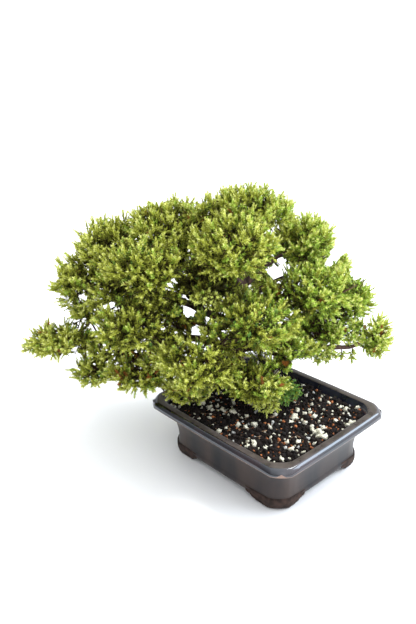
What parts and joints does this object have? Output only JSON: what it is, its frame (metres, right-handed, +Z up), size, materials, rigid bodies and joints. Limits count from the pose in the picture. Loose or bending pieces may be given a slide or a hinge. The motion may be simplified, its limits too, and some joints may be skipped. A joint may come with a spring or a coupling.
{
  "type": "juniper bonsai tree",
  "caption": "Dwarf juniper bonsai with a broad crown of foliage masses on a short dark trunk, growing in a low rectangular glazed pot on corner feet.",
  "frame": {"origin": "middle of the whole part's box, on the floor under the pot's feet", "axes": "+Z up, +X along the pot's long side, +Y along its short side; the tree's front faces between -Y and +X"},
  "size_m": [0.3364, 0.3704, 0.2874],
  "materials": {
    "pot_glaze": "satin",
    "soil": "matte",
    "bark": "matte",
    "foliage": "matte"
  },
  "bodies": {
    "root": {"bough_back_left": "bark", "bough_back_low": "bark", "bough_back_low_left": "bark", "bough_back_right": "bark", "bough_back_top": "bark", "bough_far_left": "bark", "bough_front_dome": "bark", "bough_front_low": "bark", "bough_front_right": "bark", "bough_front_under": "bark", "bough_hanging": "bark", "bough_heart": "bark", "bough_left_end": "bark", "bough_left_shoulder": "bark", "bough_left_tip": "bark", "bough_left_under": "bark", "bough_low_centre": "bark", "bough_low_left": "bark", "bough_mid_left": "bark", "bough_right_low": "bark", "bough_right_mid": "bark", "bough_right_out": "bark", "bough_right_shoulder": "bark", "bough_right_tip": "bark", "bough_right_under": "bark", "bough_upper_left": "bark", "foliage_apex": "foliage", "foliage_back_left": "foliage", "foliage_back_low": "foliage", "foliage_back_low_left": "foliage", "foliage_back_right": "foliage", "foliage_back_top": "foliage", "foliage_far_left": "foliage", "foliage_front_dome": "foliage", "foliage_front_low": "foliage", "foliage_front_right": "foliage", "foliage_front_under": "foliage", "foliage_hanging": "foliage", "foliage_heart": "foliage", "foliage_left_end": "foliage", "foliage_left_shoulder": "foliage", "foliage_left_tip": "foliage", "foliage_left_under": "foliage", "foliage_low_centre": "foliage", "foliage_low_left": "foliage", "foliage_mid_left": "foliage", "foliage_right_low": "foliage", "foliage_right_mid": "foliage", "foliage_right_out": "foliage", "foliage_right_shoulder": "foliage", "foliage_right_tip": "foliage", "foliage_right_under": "foliage", "foliage_upper_left": "foliage", "pot": "pot_glaze", "soil": "soil", "trunk": "bark"}
  },
  "joints": []
}
